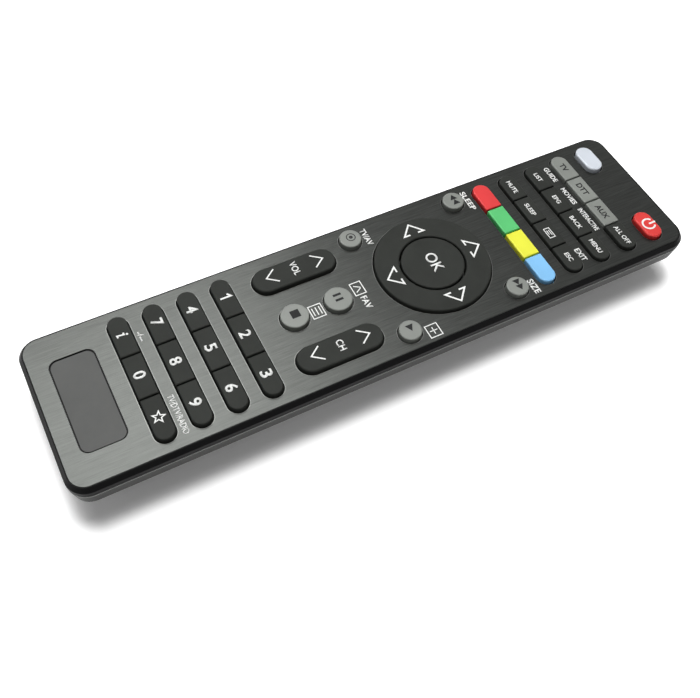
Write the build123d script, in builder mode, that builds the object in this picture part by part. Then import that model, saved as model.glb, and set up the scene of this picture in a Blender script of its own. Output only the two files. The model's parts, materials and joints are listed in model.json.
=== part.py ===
from build123d import *
import os

os.makedirs("parts", exist_ok=True)

# Handset body. X runs across, Y runs from the battery end to the infrared end, Z is up.
# The origin is the middle of the flat underside.
side_margin = 4.35
first_row_margin = 27.8
front_margin = 10.2
corner_radius = 6.0
bevel_width = 1.0
bevel_drop = 1.5
rim_height = 1.5
parting_groove = 0.5
lip_inset = 0.05
waist_drop = 5.0
waist_inset = 0.9
base_side_margin = 3.3
base_corner_radius = 4.5
waist_round = 1.2
base_round = 1.0
wall = 1.8
floor_wall = 1.5
tongue_wall = 0.8
tongue_rise = 1.0
seam_clearance = 0.1
cut_overrun = 1.0

# Face plate and its blank badge
plate_thickness = 0.4
plate_lip = 0.15
plate_edge_break = 0.12
top_wall = 1.75
badge_width = 30.3
badge_length = 12.4
badge_margin = 13.0
badge_corner = 2.3
badge_thickness = 0.3
badge_gap = 0.35
badge_sink = 0.15

# Keys: what all of them share
key_travel = 1.0
stop_clearance = 0.1
key_play = 0.15
flange_thickness = 0.7
flange_reach = 0.7
housing_clearance = 0.3
plate_clearance = 0.4
key_edge_round = 0.4
key_corner_round = 0.25
post_radius = 1.4
post_hole_clearance = 0.4

# Rows of keys that share one long slot
row_half_length = 21.15
row_key_width = 5.7
key_joint = 0.45
number_joint_share = 0.34
number_rise = 1.6
number_row_gap = 4.62
number_row_count = 4
upper_joint_share = 0.503
coloured_rise = 1.3
plain_rise = 1.1
upper_row_gap = 4.5
upper_row_count = 4

# Tilting volume and channel keys
rocker_inset = 1.825
rocker_length = 26.4
rocker_width = 8.65
rocker_rise = 1.5
rocker_drop = 0.65
rocker_edge_round = 0.6
pivot_rib_width = 1.2

# Round keys
round_key_rise = 1.6
large_key_radius = 4.2
stop_key_gap = 8.19
stop_pause_gap = 5.6
small_key_radius = 3.4
small_key_overhang = 0.85
small_key_offset = 0.6

# Direction ring with the key in its middle
ring_gap = 10.0
ring_row_gap = 8.35
ring_outer_radius = 17.8
ring_width = 7.6
ring_rise = 1.3
ring_drop = 0.9
ring_edge_round = 0.5
ring_hollow = 0.5
centre_key_gap = 0.55
centre_key_rise = 1.3
centre_post_radius = 2.2
collar_margin = 0.4
collar_width = 2.0
collar_thickness = 0.3
collar_gap = 0.5
ring_well_gap = 0.9
ring_web = 0.5

# Power key and the window of the indicator lamp
pill_length = 10.7
pill_width = 5.8
power_rise = 1.5
window_rise = 1.5
window_edge_round = 0.6

# Circuit board and the rubber sheet on it
board_side_gap = 3.0
board_front_gap = 7.5
board_rear_gap = 4.5
board_corner = 2.0
board_thickness = 1.0
board_gap = 0.2
sheet_thickness = 1.0
sheet_margin = 0.6
board_post_radius = 1.5
board_post_inset = 8.5
board_post_shares = [-0.22, 0.3, 0.68]

# Two cells, their bay and the contacts
cell_radius = 5.25
cell_length = 43.3
cell_nub_radius = 1.9
cell_nub_length = 1.0
cell_edge_round = 0.5
cell_spacing = 11.0
cell_lift = 0.3
bay_half_width = 11.4
bay_wall = 1.1
bay_ceiling = 0.8
bay_rib_thickness = 1.0
bay_rib_foot = 3.2
bay_rib_shares = [-0.36, 0, 0.36]
bay_end_margin = 11.2
contact_sheet = 0.3
contact_height = 8.0
contact_width = 9.0
leaf_width = 4.5
contact_room = 2.85
contact_gap = 0.15

# Sliding cover of the cell bay
door_thickness = 1.3
door_half_width = 14.0
door_overlap = 1.5
door_rail_reach = 1.2
door_rail_thickness = 0.7
door_rail_web = 0.8
door_end_height = 8.0
door_gap = 0.25
door_rail_setback = 4.0
door_lip_width = 4.4
grip_rib_count = 5
grip_rib_pitch = 2.4
grip_rib_width = 1.0
grip_rib_depth = 0.4
grip_rib_length = 14.0
grip_setback = 9.8

# Infrared end
ir_window_half_width = 9.0
ir_window_rise = 0.7
ir_window_drop = 0.4
ir_window_gap = 0.1
ir_window_thickness = 1.2
led_radius = 1.5
led_length = 4.0
led_rim_radius = 1.9
led_rim_length = 0.9
led_spacing = 8.0
led_dome_share = 0.9
lamp_radius = 1.5
lamp_height = 1.9

# Electronics under the board
chip_width = 7.5
chip_length = 12.8
chip_height = 2.0
chip_leg_count = 9
chip_leg_pitch = 1.27
chip_leg_width = 0.45
chip_leg_reach = 1.2
chip_leg_thickness = 0.25
chip_y = 10.0
resonator_length = 7.0
resonator_width = 3.2
resonator_height = 3.4
resonator_margin = 9.5
resonator_y = 12.0
capacitor_radius = 2.5
capacitor_height = 7.0
capacitor_margin = 10.5
capacitor_y = 8.0
capacitor_crimp = 0.3
capacitor_crimp_drop = 1.4
can_round = 0.5
chip_edge_break = 0.25

# Screws that hold the two housings together
rear_screw_x = 8.0
rear_screw_gap = 1.5
front_screw_x = 5.5
front_screw_margin = 11.5
screw_head_radius = 2.2
screw_head_height = 1.5
screw_head_round = 0.5
screw_shank_radius = 1.1
screw_reach = 6.5
screw_well_radius = 2.6
screw_well_wall = 1.1
screw_well_depth = 9.0
screw_ledge = 1.5
screw_fit = 0.08
driver_slot = 0.6
driver_depth = 0.7
boss_radius = 2.1
boss_clearance = 0.4

# Heights worked out from the values above: the stack from the cells up to the face plate
cell_z = door_thickness + cell_lift + cell_radius
bay_top = cell_z + cell_radius + cell_lift
board_bottom = bay_top + bay_ceiling + board_gap
sheet_bottom = board_bottom + board_thickness
sheet_top = sheet_bottom + sheet_thickness
flange_bottom = sheet_top + key_travel + stop_clearance
flange_top = flange_bottom + flange_thickness
top_wall_under = flange_top + key_play
plate_bottom = top_wall_under + top_wall
body_height = plate_bottom + plate_thickness
bevel_bottom = body_height - bevel_drop
rim_bottom = bevel_bottom - rim_height
lip_height = rim_bottom - parting_groove
waist_height = lip_height - waist_drop
post_bottom = sheet_bottom + key_travel + stop_clearance
rocker_top = top_wall_under - rocker_drop
ring_flange_top = top_wall_under - ring_drop
ring_flange_bottom = ring_flange_top - flange_thickness
ring_under = ring_flange_bottom + ring_hollow
collar_top = ring_under - collar_gap
ir_window_bottom = waist_height + ir_window_rise
ir_window_top = lip_height - ir_window_drop

# Places across: every group of keys lines up with the ends of the long rows
overall_width = 2 * (row_half_length + side_margin)
number_joint_x = row_half_length * number_joint_share
upper_joint_x = row_half_length * upper_joint_share
rocker_x = row_half_length - rocker_inset - rocker_width / 2
small_key_x = row_half_length + small_key_overhang - small_key_radius
pill_x = row_half_length - pill_length / 2
base_inset = overall_width / 2 - door_half_width - door_rail_reach - base_side_margin
board_width = overall_width - 2 * board_side_gap
board_post_x = board_width / 2 - board_post_inset
resonator_x = resonator_margin - board_width / 2
capacitor_x = board_width / 2 - capacitor_margin
ring_inner_radius = ring_outer_radius - ring_width
ring_well_radius = ring_outer_radius + flange_reach + ring_well_gap
centre_key_radius = ring_inner_radius - centre_key_gap
collar_inner_radius = ring_inner_radius + collar_margin
collar_outer_radius = collar_inner_radius + collar_width

# Places along: the length is what the groups of keys and the gaps between them add up to
number_row_pitch = row_key_width + number_row_gap
upper_row_pitch = row_key_width + upper_row_gap
last_row_to_stop = row_key_width / 2 + stop_key_gap + large_key_radius
stop_to_pause = 2 * large_key_radius + stop_pause_gap
pause_to_ring = large_key_radius + ring_gap + ring_outer_radius
ring_to_row = ring_outer_radius + ring_row_gap + row_key_width / 2
number_rows_length = (number_row_count - 1) * number_row_pitch
middle_length = last_row_to_stop + stop_to_pause + pause_to_ring + ring_to_row
upper_rows_length = upper_row_count * upper_row_pitch
overall_length = first_row_margin + number_rows_length + middle_length + upper_rows_length + front_margin
number_row_ys = [
    first_row_margin - overall_length / 2 + i * number_row_pitch for i in range(number_row_count)
]
stop_key_y = number_row_ys[-1] + last_row_to_stop
pause_key_y = stop_key_y + stop_to_pause
rocker_y = (stop_key_y + pause_key_y) / 2
ring_y = pause_key_y + pause_to_ring
small_key_reach = ring_outer_radius + small_key_offset
upper_row_ys = [ring_y + ring_to_row + i * upper_row_pitch for i in range(upper_row_count)]
row_ys = number_row_ys + upper_row_ys
pill_y = upper_row_ys[-1] + upper_row_pitch
badge_y = badge_margin - overall_length / 2
board_length = overall_length - board_front_gap - board_rear_gap
board_y = (board_rear_gap - board_front_gap) / 2
board_front_y = board_y + board_length / 2
board_post_ys = [share * overall_length / 2 for share in board_post_shares]
bay_length = cell_length + cell_nub_length + 2 * contact_room
bay_far_y = bay_end_margin - overall_length / 2
bay_near_y = bay_far_y + bay_length
bay_middle_y = (bay_far_y + bay_near_y) / 2
bay_rib_ys = [bay_middle_y + share * bay_length for share in bay_rib_shares]
leaf_bow = contact_room - contact_sheet - contact_gap
door_front_y = bay_near_y + bay_wall + door_overlap
grip_y = door_front_y - grip_setback
rear_screw_y = door_front_y + rear_screw_gap + screw_well_radius + screw_well_wall
front_screw_y = overall_length / 2 - front_screw_margin
screw_places = [
    (side * x, y)
    for x, y in ((rear_screw_x, rear_screw_y), (front_screw_x, front_screw_y))
    for side in (-1, 1)
]

# Keys of each row, from left to right, and the round keys with their places
number_names = [
    ("key_info", "key_0", "key_favourite"),
    ("key_7", "key_8", "key_9"),
    ("key_4", "key_5", "key_6"),
    ("key_1", "key_2", "key_3"),
]
upper_names = [
    ("key_red", "key_green", "key_yellow", "key_blue"),
    ("key_mute", "key_sleep", "key_text", "key_escape"),
    ("key_list", "key_guide", "key_back", "key_menu"),
    ("key_device_1", "key_device_2", "key_device_3", "key_all_off"),
]
number_edges = [-row_half_length, -number_joint_x, number_joint_x, row_half_length]
upper_edges = [-row_half_length, -upper_joint_x, 0, upper_joint_x, row_half_length]
upper_rises = [coloured_rise, plain_rise, plain_rise, coloured_rise]
round_keys = [
    ("key_stop", 0, stop_key_y, large_key_radius),
    ("key_pause", 0, pause_key_y, large_key_radius),
    ("key_source", -small_key_x, ring_y - small_key_reach, small_key_radius),
    ("key_play", small_key_x, ring_y - small_key_reach, small_key_radius),
    ("key_rewind", -small_key_x, ring_y + small_key_reach, small_key_radius),
    ("key_forward", small_key_x, ring_y + small_key_reach, small_key_radius),
]

# Middle of every pressed key, where its post and the hole below it lie
key_centres = [((a + b) / 2, y) for y in number_row_ys for a, b in zip(number_edges, number_edges[1:])]
key_centres += [((a + b) / 2, y) for y in upper_row_ys for a, b in zip(upper_edges, upper_edges[1:])]
key_centres += [(x, y) for _, x, y, _ in round_keys]
key_centres += [(pill_x, pill_y)]


def export(piece, name):
    """Name a finished piece and write it."""
    piece.part.label = name
    export_step(piece.part, f"parts/{name}.step")


def form_inset(z):
    """How far the side of the lower housing stands in from the outermost edge at a height."""
    if z <= waist_height:
        return base_inset + (waist_inset - base_inset) * z / waist_height
    return waist_inset + (lip_inset - waist_inset) * (z - waist_height) / (lip_height - waist_height)


def form_section(z, inset):
    """One rounded rectangle of a housing, standing in by inset from the outermost edge."""
    radius = max(corner_radius - inset, base_corner_radius)
    with BuildSketch(Plane.XY.offset(z)) as section:
        RectangleRounded(overall_width - 2 * inset, overall_length - 2 * inset, radius)
    return section.sketch


def lower_form(shrink, floor, top):
    """The tapered form of the lower housing, drawn in by shrink, from floor to top."""
    heights = [floor, waist_height, top]
    sections = [form_section(z, form_inset(min(z, lip_height)) + shrink) for z in heights]
    with BuildPart() as form:
        loft(sections, ruled=True)
    return form.part


def row_outline(y, grow):
    """Slot of a full row of keys, larger all round by grow."""
    with Locations((0, y)):
        SlotOverall(2 * (row_half_length + grow), row_key_width + 2 * grow)


def pill_outline(x, grow):
    """Slot of the power key or of the lamp window, larger all round by grow."""
    with Locations((x, pill_y)):
        SlotOverall(pill_length + 2 * grow, pill_width + 2 * grow)


def rocker_outline(x, grow):
    """Slot of a tilting key, larger all round by grow."""
    with Locations((x, rocker_y)):
        SlotOverall(rocker_length + 2 * grow, rocker_width + 2 * grow, rotation=90)


def key_openings(grow):
    """Every opening that a key or the lamp window comes up through."""
    for y in row_ys:
        row_outline(y, grow)
    for x in (-pill_x, pill_x):
        pill_outline(x, grow)
    for x in (-rocker_x, rocker_x):
        rocker_outline(x, grow)
    for _, x, y, radius in round_keys:
        with Locations((x, y)):
            Circle(radius + grow)
    with Locations((0, ring_y)):
        Circle(ring_outer_radius + grow)


# Upper housing: a shallow tray with a bevelled rim, every key opening and four screw bosses
plate_inset = bevel_width + plate_lip
rim_wall = lip_inset + wall - tongue_wall - seam_clearance
with BuildPart() as top_housing:
    rim_levels = ((rim_bottom, 0), (bevel_bottom, 0), (body_height, bevel_width))
    loft([form_section(z, inset) for z, inset in rim_levels], ruled=True)
    extrude(form_section(plate_bottom, plate_inset), amount=plate_thickness, mode=Mode.SUBTRACT)
    extrude(form_section(rim_bottom, rim_wall), amount=top_wall_under - rim_bottom, mode=Mode.SUBTRACT)
    with BuildSketch(Plane.XY.offset(body_height)):
        key_openings(housing_clearance)
    extrude(amount=-(body_height - rim_bottom), mode=Mode.SUBTRACT)
    with BuildSketch(Plane.XY.offset(plate_bottom)):
        with Locations((0, badge_y)):
            RectangleRounded(badge_width, badge_length, badge_corner)
    extrude(amount=-badge_sink, mode=Mode.SUBTRACT)
    with BuildSketch(Plane.XY.offset(top_wall_under)):
        with Locations(*screw_places):
            Circle(boss_radius)
    extrude(amount=-(top_wall_under - screw_well_depth - screw_ledge - seam_clearance))
    with BuildSketch(Plane.XY.offset(screw_well_depth + screw_ledge)):
        with Locations(*screw_places):
            Circle(screw_shank_radius + screw_fit)
    extrude(amount=screw_reach, mode=Mode.SUBTRACT)
export(top_housing, "top_housing")

# Brushed face plate, laid in the tray
with BuildPart() as face_plate:
    extrude(form_section(plate_bottom, plate_inset + seam_clearance), amount=plate_thickness)
    chamfer(face_plate.faces().sort_by(Axis.Z)[-1].outer_wire().edges(), plate_edge_break)
    with BuildSketch(Plane.XY.offset(body_height)):
        key_openings(plate_clearance)
        with Locations((0, badge_y)):
            RectangleRounded(
                badge_width + 2 * badge_gap, badge_length + 2 * badge_gap, badge_corner + badge_gap
            )
    extrude(amount=-plate_thickness, mode=Mode.SUBTRACT)
export(face_plate, "face_plate")

# Blank badge, let into the plate
with BuildPart() as badge:
    with BuildSketch(Plane.XY.offset(plate_bottom - badge_sink)):
        with Locations((0, badge_y)):
            RectangleRounded(
                badge_width - 2 * seam_clearance, badge_length - 2 * seam_clearance, badge_corner
            )
    extrude(amount=badge_thickness)
export(badge, "badge")


# Outside of the lower housing with its rounded edges, which the cover and the lens also follow
with BuildPart() as lower_outside:
    add(lower_form(0, 0, lip_height))
    fillet(lower_outside.edges().filter_by_position(Axis.Z, waist_height, waist_height), waist_round)
    fillet(lower_outside.edges().filter_by_position(Axis.Z, 0, 0), base_round)


def door_zone(grow):
    """Space that the sliding cover takes from the lower housing, larger by grow."""
    far = -overall_length / 2 - cut_overrun
    near = door_front_y + grow
    step = bay_far_y - bay_wall
    with BuildPart() as zone:
        with BuildSketch(Plane.XY.offset(-cut_overrun)):
            with Locations((0, (far + near) / 2)):
                Rectangle(2 * (door_half_width + grow), near - far)
        extrude(amount=cut_overrun + floor_wall + grow)
        with BuildSketch(Plane.XY.offset(-cut_overrun)):
            with Locations((0, (far + step) / 2)):
                Rectangle(2 * (door_half_width + door_rail_reach + grow), step - far)
        extrude(amount=door_end_height + cut_overrun + grow)
    return zone.part


def lens_zone(grow):
    """Space that the infrared window takes from the end of the lower housing, larger by grow."""
    with BuildPart() as zone:
        with BuildSketch(Plane.XZ.offset(-overall_length / 2 - cut_overrun)):
            with Locations((0, (ir_window_bottom + ir_window_top) / 2)):
                Rectangle(
                    2 * (ir_window_half_width + grow), ir_window_top - ir_window_bottom + 2 * grow
                )
        extrude(amount=form_inset(ir_window_bottom) + wall + 2 * cut_overrun)
    return zone.part


# Lower housing: a tapered shell with the cell bay, screw wells and the infrared opening
with BuildPart() as bottom_housing:
    add(lower_outside.part)
    add(lower_form(wall, floor_wall, lip_height), mode=Mode.SUBTRACT)
    tongue_outer = lip_inset + wall - tongue_wall
    extrude(form_section(lip_height, tongue_outer), amount=tongue_rise)
    extrude(form_section(lip_height, lip_inset + wall), amount=tongue_rise, mode=Mode.SUBTRACT)
    with BuildSketch(Plane.XY.offset(floor_wall)):
        with Locations((0, bay_middle_y)):
            Rectangle(2 * (bay_half_width + bay_wall), bay_length + 2 * bay_wall)
            Rectangle(2 * bay_half_width, bay_length, mode=Mode.SUBTRACT)
    extrude(amount=bay_top - floor_wall)
    with BuildSketch(Plane.XY.offset(bay_top)):
        with Locations((0, bay_middle_y)):
            Rectangle(2 * (bay_half_width + bay_wall), bay_length + 2 * bay_wall)
    extrude(amount=bay_ceiling)
    for y in bay_rib_ys:
        with BuildSketch(Plane.XZ.offset(-y)):
            rib_root = bay_half_width + bay_wall / 2
            rib_foot_x = overall_width / 2 - form_inset(bay_rib_foot) - wall / 2
            rib_top_x = overall_width / 2 - form_inset(waist_height) - wall / 2
            with BuildLine():
                Polyline(
                    (rib_root, bay_rib_foot),
                    (rib_foot_x, bay_rib_foot),
                    (rib_top_x, waist_height),
                    (rib_root, waist_height),
                    close=True,
                )
            make_face()
            mirror(about=Plane.YZ)
        extrude(amount=bay_rib_thickness / 2, both=True)
    with BuildSketch(Plane.XY.offset(floor_wall)):
        with Locations(*[(side * board_post_x, y) for side in (-1, 1) for y in board_post_ys]):
            Circle(board_post_radius)
    extrude(amount=board_bottom - floor_wall)
    with BuildSketch():
        with Locations(*screw_places):
            Circle(screw_well_radius + screw_well_wall)
    extrude(amount=screw_well_depth + screw_ledge)
    with BuildSketch():
        with Locations(*screw_places):
            Circle(screw_well_radius)
    extrude(amount=screw_well_depth, mode=Mode.SUBTRACT)
    with BuildSketch():
        with Locations(*screw_places):
            Circle(screw_shank_radius + screw_fit)
    extrude(amount=screw_well_depth + screw_ledge, mode=Mode.SUBTRACT)
    add(door_zone(door_gap), mode=Mode.SUBTRACT)
    add(lens_zone(ir_window_gap), mode=Mode.SUBTRACT)
export(bottom_housing, "bottom_housing")


# Sliding cover of the cell bay: floor, wrapped end and two rails that run over the housing floor
with BuildPart() as battery_door:
    add(lower_outside.part)
    add(door_zone(0), mode=Mode.INTERSECT)
    add(lower_form(door_thickness, door_thickness, lip_height), mode=Mode.SUBTRACT)
    rail_bottom = floor_wall + door_gap
    rail_far_y = bay_far_y - bay_wall
    rail_near_y = door_front_y - door_rail_setback
    rail_middle_y = (rail_far_y + rail_near_y) / 2
    rail_length = rail_near_y - rail_far_y
    web_x = door_half_width - door_rail_web / 2
    with BuildSketch(Plane.XY.offset(door_thickness)):
        with Locations((-web_x, rail_middle_y), (web_x, rail_middle_y)):
            Rectangle(door_rail_web, rail_length)
    extrude(amount=rail_bottom + door_rail_thickness - door_thickness)
    flange_width = door_rail_web + door_rail_reach
    flange_x = door_half_width + door_rail_reach - flange_width / 2
    with BuildSketch(Plane.XY.offset(rail_bottom)):
        with Locations((-flange_x, rail_middle_y), (flange_x, rail_middle_y)):
            Rectangle(flange_width, rail_length)
    extrude(amount=door_rail_thickness)
    with BuildSketch(Plane.XY.offset(door_thickness)):
        with Locations((0, door_front_y - door_rail_web / 2)):
            Rectangle(door_lip_width, door_rail_web)
    extrude(amount=rail_bottom + door_rail_thickness - door_thickness)
    with BuildSketch(Plane.XY.offset(rail_bottom)):
        with Locations((0, door_front_y + (door_rail_reach - door_rail_web) / 2)):
            Rectangle(door_lip_width, door_rail_reach + door_rail_web)
    extrude(amount=door_rail_thickness)
    with BuildSketch():
        with Locations((0, grip_y)):
            with GridLocations(0, grip_rib_pitch, 1, grip_rib_count):
                SlotOverall(grip_rib_length, grip_rib_width)
    extrude(amount=grip_rib_depth, mode=Mode.SUBTRACT)
export(battery_door, "battery_door")

# Dark window in front of the infrared lamps
with BuildPart() as infrared_window:
    add(lower_outside.part)
    add(lens_zone(0), mode=Mode.INTERSECT)
    add(lower_form(ir_window_thickness, 0, lip_height), mode=Mode.SUBTRACT)
export(infrared_window, "infrared_window")


def make_key(name, grown_outline, rise, centre, edge_round, sides=None):
    """A pressed key: cap, flange under the housing and post over the board."""
    top = body_height + rise
    with BuildPart() as key:
        for grow, bottom, height in (
            (flange_reach, flange_bottom, flange_thickness),
            (0, flange_top, top - flange_top),
        ):
            with BuildSketch(Plane.XY.offset(bottom)) as outline:
                grown_outline(grow)
                if sides:
                    left, right = sides
                    with Locations(((left + right) / 2, centre[1])):
                        Rectangle(right - left, row_key_width + 2 * grow, mode=Mode.INTERSECT)
                    joint_corners = outline.vertices().filter_by(
                        lambda v: min(abs(v.X - left), abs(v.X - right)) < key_corner_round
                    )
                    fillet(joint_corners, key_corner_round)
            extrude(amount=height)
        fillet(key.faces().sort_by(Axis.Z)[-1].edges(), edge_round)
        with BuildSketch(Plane.XY.offset(post_bottom)):
            with Locations(centre):
                Circle(post_radius)
        extrude(amount=flange_bottom - post_bottom)
    export(key, name)


def make_row(names, edges, y, rise):
    """The keys of one row, cut from one long slot and parted by narrow joints."""
    for i, name in enumerate(names):
        left = edges[i] + key_joint / 2 if i > 0 else -overall_width / 2
        right = edges[i + 1] - key_joint / 2 if i < len(names) - 1 else overall_width / 2
        centre = ((edges[i] + edges[i + 1]) / 2, y)
        make_key(name, lambda grow: row_outline(y, grow), rise, centre, key_edge_round, (left, right))


for names, y in zip(number_names, number_row_ys):
    make_row(names, number_edges, y, number_rise)
for names, y, rise in zip(upper_names, upper_row_ys, upper_rises):
    make_row(names, upper_edges, y, rise)


def round_outline(x, y, radius, grow):
    """Circle of a round key, larger by grow."""
    with Locations((x, y)):
        Circle(radius + grow)


for name, x, y, radius in round_keys:
    make_key(
        name, lambda grow: round_outline(x, y, radius, grow), round_key_rise, (x, y), key_edge_round
    )
make_key(
    "key_power", lambda grow: pill_outline(pill_x, grow), power_rise, (pill_x, pill_y), window_edge_round
)


def make_rocker(name, x):
    """A long key that tilts about the rib under its middle."""
    with BuildPart() as rocker:
        with BuildSketch(Plane.XY.offset(rocker_top - flange_thickness)):
            rocker_outline(x, flange_reach)
        extrude(amount=flange_thickness)
        with BuildSketch(Plane.XY.offset(rocker_top)):
            rocker_outline(x, 0)
        extrude(amount=body_height + rocker_rise - rocker_top)
        fillet(rocker.faces().sort_by(Axis.Z)[-1].edges(), rocker_edge_round)
    export(rocker, name)


make_rocker("volume_rocker", -rocker_x)
make_rocker("channel_rocker", rocker_x)

# Direction ring: hollow below, so that it rocks on the collar and clears the board
with BuildPart() as direction_ring:
    with BuildSketch(Plane.XY.offset(ring_flange_bottom)):
        with Locations((0, ring_y)):
            Circle(ring_outer_radius + flange_reach)
            Circle(ring_inner_radius, mode=Mode.SUBTRACT)
    extrude(amount=flange_thickness)
    with BuildSketch(Plane.XY.offset(ring_flange_top)):
        with Locations((0, ring_y)):
            Circle(ring_outer_radius)
            Circle(ring_inner_radius, mode=Mode.SUBTRACT)
    extrude(amount=body_height + ring_rise - ring_flange_top)
    fillet(direction_ring.faces().sort_by(Axis.Z)[-1].edges(), ring_edge_round)
    with BuildSketch(Plane.XY.offset(ring_flange_bottom)):
        with Locations((0, ring_y)):
            Circle(collar_outer_radius + collar_gap)
            Circle(ring_inner_radius, mode=Mode.SUBTRACT)
    extrude(amount=ring_hollow, mode=Mode.SUBTRACT)
export(direction_ring, "direction_ring")

# Rubber collar that the ring rocks on
with BuildPart() as ring_collar:
    with BuildSketch(Plane.XY.offset(collar_top - collar_thickness)):
        with Locations((0, ring_y)):
            Circle(collar_outer_radius)
            Circle(collar_inner_radius, mode=Mode.SUBTRACT)
    extrude(amount=collar_thickness)
export(ring_collar, "ring_collar")

# Centre key
with BuildPart() as key_ok:
    with BuildSketch(Plane.XY.offset(flange_bottom)):
        with Locations((0, ring_y)):
            Circle(centre_key_radius)
    extrude(amount=body_height + centre_key_rise - flange_bottom)
    fillet(key_ok.faces().sort_by(Axis.Z)[-1].edges(), key_edge_round)
    with BuildSketch(Plane.XY.offset(post_bottom)):
        with Locations((0, ring_y)):
            Circle(centre_post_radius)
    extrude(amount=flange_bottom - post_bottom)
export(key_ok, "key_ok")

# Clear window over the indicator lamp, fixed in the upper housing
with BuildPart() as indicator_window:
    with BuildSketch(Plane.XY.offset(flange_bottom)):
        pill_outline(-pill_x, flange_reach)
    extrude(amount=top_wall_under - flange_bottom)
    with BuildSketch(Plane.XY.offset(top_wall_under)):
        pill_outline(-pill_x, 0)
    extrude(amount=body_height + window_rise - top_wall_under)
    fillet(indicator_window.faces().sort_by(Axis.Z)[-1].edges(), window_edge_round)
export(indicator_window, "indicator_window")


def board_outline(margin):
    """Outline of the circuit board, drawn in by margin, with holes for the screw bosses."""
    with Locations((0, board_y)):
        RectangleRounded(board_width - 2 * margin, board_length - 2 * margin, board_corner)
    with Locations(*screw_places):
        Circle(boss_radius + boss_clearance, mode=Mode.SUBTRACT)


# Circuit board
with BuildPart() as circuit_board:
    with BuildSketch(Plane.XY.offset(board_bottom)):
        board_outline(0)
    extrude(amount=board_thickness)
export(circuit_board, "circuit_board")

# Rubber sheet on the board, with a hole at each post, a thin web under the ring and two pivot ribs
with BuildPart() as rubber_sheet:
    with BuildSketch(Plane.XY.offset(sheet_bottom)):
        board_outline(sheet_margin)
        with Locations(*key_centres):
            Circle(post_radius + post_hole_clearance, mode=Mode.SUBTRACT)
        with Locations((0, ring_y)):
            Circle(centre_post_radius + post_hole_clearance, mode=Mode.SUBTRACT)
        with Locations((-pill_x, pill_y)):
            Circle(lamp_radius + post_hole_clearance, mode=Mode.SUBTRACT)
    extrude(amount=sheet_thickness)
    with BuildSketch(Plane.XY.offset(sheet_bottom + ring_web)):
        with Locations((0, ring_y)):
            Circle(ring_well_radius)
            Circle(ring_inner_radius - plate_clearance, mode=Mode.SUBTRACT)
    extrude(amount=sheet_thickness - ring_web, mode=Mode.SUBTRACT)
    with BuildSketch(Plane.XY.offset(sheet_top)):
        with Locations((-rocker_x, rocker_y), (rocker_x, rocker_y)):
            Rectangle(rocker_width, pivot_rib_width)
    extrude(amount=rocker_top - flange_thickness - key_play - sheet_top)
export(rubber_sheet, "rubber_sheet")


# Two cells, laid head to tail
def make_cell(name, x, nub_end):
    """One cell with its raised nub at the end that nub_end points to."""
    body_y = bay_middle_y - nub_end * cell_nub_length / 2
    with BuildPart() as cell:
        with BuildSketch(Plane.XZ.offset(-(body_y - cell_length / 2))):
            with Locations((x, cell_z)):
                Circle(cell_radius)
        extrude(amount=-cell_length)
        fillet(cell.edges().filter_by(GeomType.CIRCLE), cell_edge_round)
        end_y = body_y + nub_end * cell_length / 2
        with BuildSketch(Plane.XZ.offset(-end_y)):
            with Locations((x, cell_z)):
                Circle(cell_nub_radius)
        extrude(amount=-nub_end * cell_nub_length)
    export(cell, name)


make_cell("battery_cell_left", -cell_spacing / 2, 1)
make_cell("battery_cell_right", cell_spacing / 2, -1)


def contact_strip(x, wall_y, inward):
    """Sheet contact against a bay wall, with a leaf that bows towards the cell."""
    face_y = wall_y + inward * contact_sheet
    with BuildPart() as strip:
        with BuildSketch(Plane.XZ.offset(-wall_y)):
            with Locations((x, cell_z)):
                Rectangle(contact_width, contact_height)
        extrude(amount=-inward * contact_sheet)
        with BuildSketch(Plane.XY.offset(cell_z - leaf_width / 2)):
            with BuildLine():
                start = (x - contact_width / 2, face_y)
                crest = (x, face_y + inward * leaf_bow)
                end = (x + contact_width / 2, face_y)
                outer = ThreePointArc(start, crest, end)
                inner_start = (start[0] + contact_sheet, face_y)
                inner_crest = (x, crest[1] - inward * contact_sheet)
                inner_end = (end[0] - contact_sheet, face_y)
                inner = ThreePointArc(inner_start, inner_crest, inner_end)
                Line(outer @ 0, inner @ 0)
                Line(outer @ 1, inner @ 1)
            make_face()
        extrude(amount=leaf_width)
    return strip.part


# Bridge that joins the two cells at the far end of the bay, and the two terminals at the near end
with BuildPart() as battery_bridge:
    for x in (-cell_spacing / 2, cell_spacing / 2):
        add(contact_strip(x, bay_far_y, 1))
    with BuildSketch(Plane.XZ.offset(-bay_far_y)):
        with Locations((0, cell_z)):
            Rectangle(cell_spacing, leaf_width)
    extrude(amount=-contact_sheet)
export(battery_bridge, "battery_bridge")

with BuildPart() as battery_terminals:
    for x in (-cell_spacing / 2, cell_spacing / 2):
        add(contact_strip(x, bay_near_y, -1))
export(battery_terminals, "battery_terminals")


# Two infrared lamps on the front edge of the board
with BuildPart() as infrared_leds:
    led_z = board_bottom + board_thickness / 2
    with BuildSketch(Plane.XZ.offset(-board_front_y)):
        with Locations((-led_spacing / 2, led_z), (led_spacing / 2, led_z)):
            Circle(led_rim_radius)
    extrude(amount=-led_rim_length)
    with BuildSketch(Plane.XZ.offset(-(board_front_y + led_rim_length))):
        with Locations((-led_spacing / 2, led_z), (led_spacing / 2, led_z)):
            Circle(led_radius)
    extrude(amount=-led_length)
    fillet(infrared_leds.faces().group_by(Axis.Y)[-1].edges(), led_radius * led_dome_share)
export(infrared_leds, "infrared_leds")

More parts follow.
